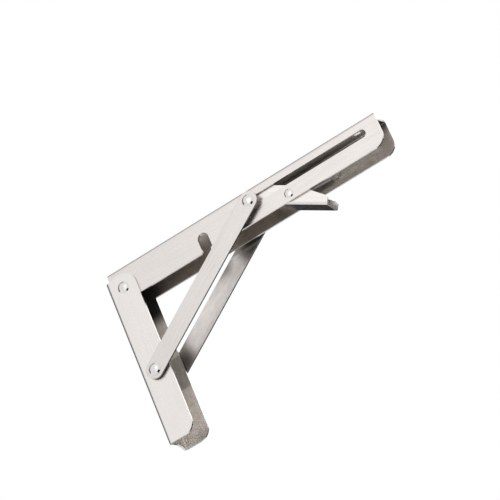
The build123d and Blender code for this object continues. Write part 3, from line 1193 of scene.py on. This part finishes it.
@dataclass
class LeverSpring:
    """Close-wound tension spring between the lever and the arm's clip."""

    wire: float = 0.4 * MM
    coil: float = 1.7 * MM
    coil_length: float = 24.0 * MM
    turns: int = 29
    steps: int = 28
    sides: int = 12
    bend: float = 0.9 * MM
    bend_steps: int = 8
    line_y: float = 9.0 * MM
    lever_hook: float = 3.05 * MM
    clip_sheet: float = 1.0 * MM
    hook_reach: float = 1.4 * MM
    hook_drop: float = 2.4 * MM
    stretch_start: float = 1.2 * MM
    stretch_end: float = 14.0 * MM
    pivot_to_hook: tuple[float, float] = (3.0 * MM, 5.5 * MM)
    pivot_to_clip: tuple[float, float] = (41.5 * MM, 1.9 * MM)

    def ends(self) -> tuple[Vector, Vector]:
        """Find the two ends of the spring's straight line.

        Returns:
            Where the hook leaves the lever, and where the line meets the clip.
        """
        pivot = node_middle("lever_pivot_pin")
        along, rise = self.pivot_to_hook
        cos, sin = math.cos(LEVER_PITCH), math.sin(LEVER_PITCH)
        out = pivot.x + along * cos + rise * sin
        up = pivot.z - along * sin + rise * cos
        ahead, over = self.pivot_to_clip
        start = Vector((out, self.line_y, up))
        end = Vector((pivot.x + ahead, self.line_y, pivot.z + over))
        return start, end

    def corner(self, before: Vector, at: Vector, after: Vector) -> list[Vector]:
        """Round one corner of the wire.

        Args:
            before: Point before the corner.
            at: The corner, where two runs meet at a right angle.
            after: Point after the corner.

        Returns:
            Points along the bend.
        """
        inwards = (before - at).normalized()
        onwards = (after - at).normalized()
        centre = at + (inwards + onwards) * self.bend
        points = []
        for step in range(self.bend_steps + 1):
            turn = step / self.bend_steps * FULL_TURN / 4
            points.append(
                centre
                - onwards * self.bend * math.cos(turn)
                - inwards * self.bend * math.sin(turn)
            )
        return points

    def path(self) -> tuple[list[Vector], list[float]]:
        """Centre line of the wire before it is wound.

        Returns:
            The points from hook to hook, and each point's share of the coil.
        """
        start, end = self.ends()
        line = end - start
        run, forward = line.length, line.normalized()
        lead = (run - self.coil_length) / 2
        far_end = run + self.clip_sheet + self.hook_reach
        near_tip = start + REARWARDS * self.lever_hook
        far_corner = start + forward * far_end
        far_tip = far_corner + forward.cross(REARWARDS) * self.hook_drop
        points = [near_tip, *self.corner(near_tip, start, start + forward)]
        shares = [0.0] * len(points)
        count = self.turns * self.steps
        for step in range(count + 1):
            share = step / count
            points.append(start + forward * (lead + share * self.coil_length))
            shares.append(share)
        hook = [*self.corner(start, far_corner, far_tip), far_tip]
        return points + hook, shares + [0.0] * len(hook)

    def tree(self) -> bpy.types.NodeTree:
        """Lay out the winding of a line into a coil with the thickness of the wire.

        Returns:
            The geometry tree.
        """
        bench = ShapeBench(
            "wound_wire",
            (
                ("Line", "NodeSocketGeometry"),
                ("Turns", "NodeSocketInt"),
                ("Coil Radius", "NodeSocketFloat"),
                ("Wire Radius", "NodeSocketFloat"),
                ("Sides", "NodeSocketInt"),
                ("Outwards", "NodeSocketVector"),
                ("Upwards", "NodeSocketVector"),
            ),
        )
        given, add, work_out = bench.given, bench.add, bench.math
        share = add(
            "GeometryNodeInputNamedAttribute", {"Name": COIL_SHARE}, data_type="FLOAT"
        )
        whole = work_out("MULTIPLY", given["Turns"], FULL_TURN)
        angle = work_out("MULTIPLY", whole, share.outputs["Attribute"])
        # The coil hangs from the line at its start, where the cosine is 1.
        moves = {
            "Outwards": work_out("SUBTRACT", work_out("COSINE", angle), 1.0),
            "Upwards": work_out("SINE", angle),
        }
        steps = [
            add(
                "ShaderNodeVectorMath",
                {
                    0: given[direction],
                    "Scale": work_out("MULTIPLY", amount, given["Coil Radius"]),
                },
                operation="SCALE",
            ).outputs["Vector"]
            for direction, amount in moves.items()
        ]
        offset = add("ShaderNodeVectorMath", dict(enumerate(steps)), operation="ADD")
        wound = add(
            "GeometryNodeSetPosition",
            {"Geometry": given["Line"], "Offset": offset.outputs["Vector"]},
        )
        curve = add("GeometryNodeMeshToCurve", {"Mesh": wound.outputs["Geometry"]})
        ring = add(
            "GeometryNodeCurvePrimitiveCircle",
            {"Resolution": given["Sides"], "Radius": given["Wire Radius"]},
        )
        drawn = add(
            "GeometryNodeCurveToMesh",
            {
                "Curve": curve.outputs["Curve"],
                "Profile Curve": ring.outputs["Curve"],
                "Fill Caps": True,
            },
        )
        return bench.finish(drawn.outputs["Mesh"])

    def build(self, finish: bpy.types.Material) -> bpy.types.Object:
        """Wind the spring between the arm's clip and the lever.

        Args:
            finish: Finish of the wire.

        Returns:
            The finished object.
        """
        points, shares = self.path()
        mesh = line_mesh("tension_spring", points)
        coil_share = mesh.attributes.new(COIL_SHARE, "FLOAT", "POINT")
        coil_share.data.foreach_set("value", shares)
        piece = link_object("tension_spring", mesh)
        start, end = self.ends()
        forward = (end - start).normalized()
        shape(
            piece,
            self.tree(),
            {
                "Turns": self.turns,
                "Coil Radius": self.coil,
                "Wire Radius": self.wire,
                "Sides": self.sides,
                "Outwards": REARWARDS,
                "Upwards": forward.cross(REARWARDS),
                "Finish": finish,
            },
        )
        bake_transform(piece)
        return settle(piece, None, ["lever_spring"])


# --------------------------------------------------------------------------
# Studio
# --------------------------------------------------------------------------


@dataclass(frozen=True)
class ViewPoint:
    """Where the camera stands and how it is turned."""

    place: Triple = (0.7157, -1.7994, -0.8475)
    right: Triple = (0.8213, 0.4427, -0.3598)
    down: Triple = (-0.4990, 0.2521, -0.8291)
    lens: float = 165.3
    sensor: float = 36.0
    clip_end: float = 50.0

    def build(self) -> bpy.types.Object:
        """Make the camera and choose it for the scene.

        Returns:
            The camera.
        """
        data = bpy.data.cameras.new("camera")
        data.sensor_width = self.sensor
        data.lens = self.lens
        data.clip_end = self.clip_end
        camera = link_object("camera", data)
        right = Vector(self.right).normalized()
        down = Vector(self.down)
        down = (down - down.dot(right) * right).normalized()
        forward = right.cross(down)
        turn = Matrix((right, -down, -forward)).transposed().to_4x4()
        camera.matrix_world = Matrix.Translation(self.place) @ turn
        bpy.context.scene.camera = camera
        return camera


@dataclass(frozen=True)
class SoftLight:
    """A square soft box."""

    name: str
    place: Triple
    size: float
    power: float

    def build(self) -> bpy.types.Object:
        """Make the lamp, aimed at the bracket.

        Returns:
            The lamp.
        """
        data = bpy.data.lights.new(self.name, "AREA")
        data.size = self.size
        data.energy = self.power
        lamp = link_object(self.name, data)
        aim = Vector(BRACKET_MIDDLE) - Vector(self.place)
        turn = aim.to_track_quat("-Z", "Y").to_matrix().to_4x4()
        lamp.matrix_world = Matrix.Translation(self.place) @ turn
        return lamp


def stage_panel(
    name: str, corners: Sequence[Sequence[float]], finish: bpy.types.Material
) -> bpy.types.Object:
    """Make a flat panel that belongs to the stage.

    Args:
        name: Name of the panel.
        corners: Its four corners, in order.
        finish: Its finish.

    Returns:
        The panel.
    """
    mesh = bpy.data.meshes.new(name)
    mesh.from_pydata(corners, [], [tuple(range(len(corners)))])
    mesh.materials.append(finish)
    panel = link_object(name, mesh)
    return panel


@dataclass(frozen=True)
class DarkCard:
    """A dark card that the metal mirrors, set beyond the view."""

    name: str
    place: Triple
    along: Triple
    length: float
    width: float
    level: float

    def build(self) -> bpy.types.Object:
        """Make the card, facing the bracket.

        Returns:
            The card, out of the camera's sight.
        """
        middle = Vector(self.place)
        facing = (Vector(BRACKET_MIDDLE) - middle).normalized()
        along = Vector(self.along)
        along = (along - along.dot(facing) * facing).normalized()
        half = along * self.length / 2
        rise = facing.cross(along) * self.width / 2
        corners = [
            middle - half - rise,
            middle + half - rise,
            middle + half + rise,
            middle - half + rise,
        ]
        bench = FinishBench(self.name)
        glow = bench.add("ShaderNodeEmission", {"Color": (*(self.level,) * 3, 1.0)})
        finish = bench.surface(glow.outputs["Emission"])
        card = stage_panel(self.name, corners, finish)
        card.visible_camera = False
        card.visible_diffuse = False
        return card


@dataclass
class Studio:
    """Floor, air, lamps and cards around the bracket."""

    floor_drop: float = 1.9
    floor_size: float = 40.0
    floor_colour: Colour = (0.88, 0.88, 0.87)
    floor_roughness: float = 0.8
    air: float = 0.75
    lamps: tuple[SoftLight, ...] = (
        SoftLight("key_soft_box", (0.3, -2.6, 0.6), 2.0, 4.2),
        SoftLight("edge_soft_box", (0.85, 2.1, 1.1), 1.2, 3.0),
    )
    cards: tuple[DarkCard, ...] = (
        DarkCard(
            "card_behind_left", (-1.0, 1.6, 0.25), (0.9, 0.0, -0.43), 2.2, 1.7, 0.02
        ),
        DarkCard(
            "card_behind_low", (0.76, 1.6, -0.58), (0.54, 0.0, 0.84), 1.5, 0.85, 0.02
        ),
        DarkCard("card_left", (-1.63, 0.11, 1.32), (0.55, 0.3, 0.7), 2.8, 2.4, 0.2),
        DarkCard("card_rim", (-1.1, 1.25, 1.4), (0.8, 0.36, 0.42), 2.6, 0.7, 0.3),
        DarkCard("card_above", (-0.75, 0.18, 2.0), (0.7, 0.1, 0.3), 1.5, 1.8, 0.4),
        DarkCard("card_front", (0.98, -1.62, -1.26), (0.8, 0.0, 0.6), 1.5, 0.8, 0.02),
    )

    def floor(self) -> bpy.types.Object:
        """Make the pale floor below the bracket, which the metal mirrors as white.

        Returns:
            The floor.
        """
        bench = FinishBench("floor_paint")
        paint = bench.add(
            "ShaderNodeBsdfPrincipled",
            {
                "Base Color": (*self.floor_colour, 1.0),
                "Roughness": self.floor_roughness,
            },
        )
        glow = bench.add("ShaderNodeEmission")
        ray = bench.add("ShaderNodeLightPath")
        seen = bench.add(
            "ShaderNodeMixShader",
            {
                0: ray.outputs["Is Glossy Ray"],
                1: paint.outputs["BSDF"],
                2: glow.outputs["Emission"],
            },
        )
        finish = bench.surface(seen.outputs["Shader"])
        half, level = self.floor_size / 2, -self.floor_drop
        corners = [(-half, -half), (half, -half), (half, half), (-half, half)]
        return stage_panel("floor", [(x, y, level) for x, y in corners], finish)

    def surroundings(self) -> bpy.types.World:
        """Make the white surroundings, dimmer as a light than as a background.

        Returns:
            The world.
        """
        world = bpy.data.worlds.new("white_room")
        world.use_nodes = True
        bench = NodeBench(world.node_tree)
        ray = bench.add("ShaderNodeLightPath").outputs
        shown = bench.math("MAXIMUM", ray["Is Camera Ray"], ray["Is Glossy Ray"])
        seen = bench.math("MAXIMUM", shown, ray["Is Transmission Ray"])
        level = bench.add(
            "ShaderNodeMapRange", {"Value": seen, "To Min": self.air, "To Max": 1.0}
        )
        back = bench.add(
            "ShaderNodeBackground",
            {"Color": (1.0, 1.0, 1.0, 1.0), "Strength": level.outputs["Result"]},
        )
        bench.add("ShaderNodeOutputWorld", {"Surface": back.outputs["Background"]})
        bpy.context.scene.world = world
        return world

    def build(self) -> None:
        """Set up the whole studio."""
        self.floor()
        self.surroundings()
        for part in (*self.lamps, *self.cards):
            part.build()
        bpy.context.scene.view_settings.view_transform = "Standard"


# --------------------------------------------------------------------------
# The bracket
# --------------------------------------------------------------------------


@dataclass
class ShelfBracket:
    """The whole bracket: its sheet pieces, rivets and spring."""

    lever_sheet: float = 1.5 * MM
    lever_bend: float = 2.5 * MM
    bar_break: float = 0.3 * MM
    # The bars' cut edges are painted near black: painted shade along the edges and in
    # the gap to the arm and leg, not the steel's own colour.
    blanked: ShearedEdge = ShearedEdge(
        "blanked_edge", (0.27, 0.255, 0.245), (0.18, 0.17, 0.165), 0.2
    )

    def leg(self) -> SheetPiece:
        """Lay out the channel on the wall.

        Returns:
            The sheet piece.
        """
        finish = BrushedSteel(
            "brushed_leg",
            run=Run.ALONG_Z,
            colour=(0.795, 0.76, 0.735),
            shade=(0.75, 0.715, 0.69),
        )
        inside = RolledInside(
            "inside_leg",
            run=Run.ALONG_Z,
            # Painted shade: deep in the hinge corner, and fainter in two patches
            # further down.
            painted_light=(
                PaintedShade((0.018, 0.0, 0.072), (0.05, 0.05, 0.04), 0.97, 0.65),
                PaintedShade((0.026, 0.0, -0.016), (0.05, 0.05, 0.019), 0.35, 0.8),
                PaintedShade((0.03, 0.0, -0.086), (0.03, 0.05, 0.016), 0.3),
            ),
            # Lighter than the leg's outer face: painted light on the inside of the leg,
            # mottled with stains by the darker shade.
            colour=(1.0, 0.965, 0.925),
            shade=(0.80, 0.75, 0.70),
            roughness=0.8,
        )
        return SheetPiece("wall_leg", "leg", "leg_steel", finish, inside)

    def arm(self) -> SheetPiece:
        """Lay out the channel under the shelf.

        Returns:
            The sheet piece.
        """
        finish = BrushedSteel(
            "brushed_arm", colour=(0.735, 0.70, 0.675), shade=(0.68, 0.645, 0.62)
        )
        inside = RolledInside(
            "inside_arm",
            # Painted shade in the hinge corner, along the slot, in the lever's shadow
            # and near the far end, with one patch of painted highlight.
            painted_light=(
                PaintedShade((0.012, 0.0, 0.074), (0.041, 0.05, 0.06), 0.97),
                PaintedShade((0.225, 0.0, 0.098), (0.09, 0.05, 0.019), 0.6),
                PaintedShade((0.186, 0.0, 0.064), (0.022, 0.05, 0.014), 0.45),
                PaintedHighlight((0.095, 0.0, 0.094), (0.014, 0.05, 0.015), 1.0, 0.3),
                PaintedShade((0.299, 0.0, 0.096), (0.013, 0.05, 0.016), 0.75),
            ),
        )
        return SheetPiece("shelf_arm", "arm", "arm_steel", finish, inside)

    def lever(self) -> SheetPiece:
        """Lay out the lever that blocks the slot.

        Returns:
            The sheet piece.
        """
        finish = BrushedSteel(
            "brushed_lever",
            turn=LEVER_PITCH,
            colour=(0.80, 0.765, 0.74),
            shade=(0.75, 0.715, 0.69),
        )
        inside = RolledInside(
            "inside_lever",
            turn=LEVER_PITCH,
            colour=(0.80, 0.77, 0.74),
            shade=(0.70, 0.665, 0.64),
            roughness=0.28,
        )
        return SheetPiece(
            "release_lever",
            "lever",
            "lever_steel",
            finish,
            inside,
            web_low=True,
            sheet=self.lever_sheet,
            bend=self.lever_bend,
        )

    def bar(self, side: Side) -> SheetPiece:
        """Lay out one of the two flat bars.

        Args:
            side: Side of the bracket that the bar is on.

        Returns:
            The sheet piece.
        """
        foot, pin = node_middle("foot_rivet_front"), node_middle("pin_rivet_front")
        turn = -math.atan2(pin.z - foot.z, pin.x - foot.x)
        name = side.name.lower()
        inside = RolledInside(
            "inside_bar_" + name,
            turn=turn,
            # Painted shade near both ends of the bar, where it stands close to the arm
            # and to the leg.
            painted_light=(
                PaintedShade((0.136, 0.0, 0.064), (0.022, 0.05, 0.02), 0.8, 0.1),
                PaintedShade((0.03, 0.0, -0.006), (0.022, 0.05, 0.02), 0.85, 0.3),
            ),
            colour=(0.73, 0.695, 0.67),
            shade=(0.66, 0.62, 0.59),
            roughness=0.33,
        )
        return SheetPiece(
            "strut_bar_" + name,
            "struts",
            "strut_steel",
            BrushedSteel("brushed_bar_" + name, turn=turn),
            inside,
            edge=self.blanked,
            folded=False,
            edge_break=self.bar_break,
        )

    def build(self) -> None:
        """Make every piece of the bracket."""
        turned = TurnedSteel().build()
        shared = {Patch.EDGE: ShearedEdge().build(), Patch.SINK: turned}
        bars = [self.bar(side) for side in Side]
        for sheet in (self.leg(), self.arm(), self.lever(), *bars):
            sheet.build(shared)
        Rivets().build(turned)
        LeverSpring().build(DrawnWire().build())


def main() -> None:
    """Load the frame, dress the bracket and set up its studio."""
    logging.basicConfig(level=logging.INFO, format="%(name)s: %(message)s")
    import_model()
    Studio().build()
    ViewPoint().build()
    ShelfBracket().build()


if __name__ == "__main__":
    main()
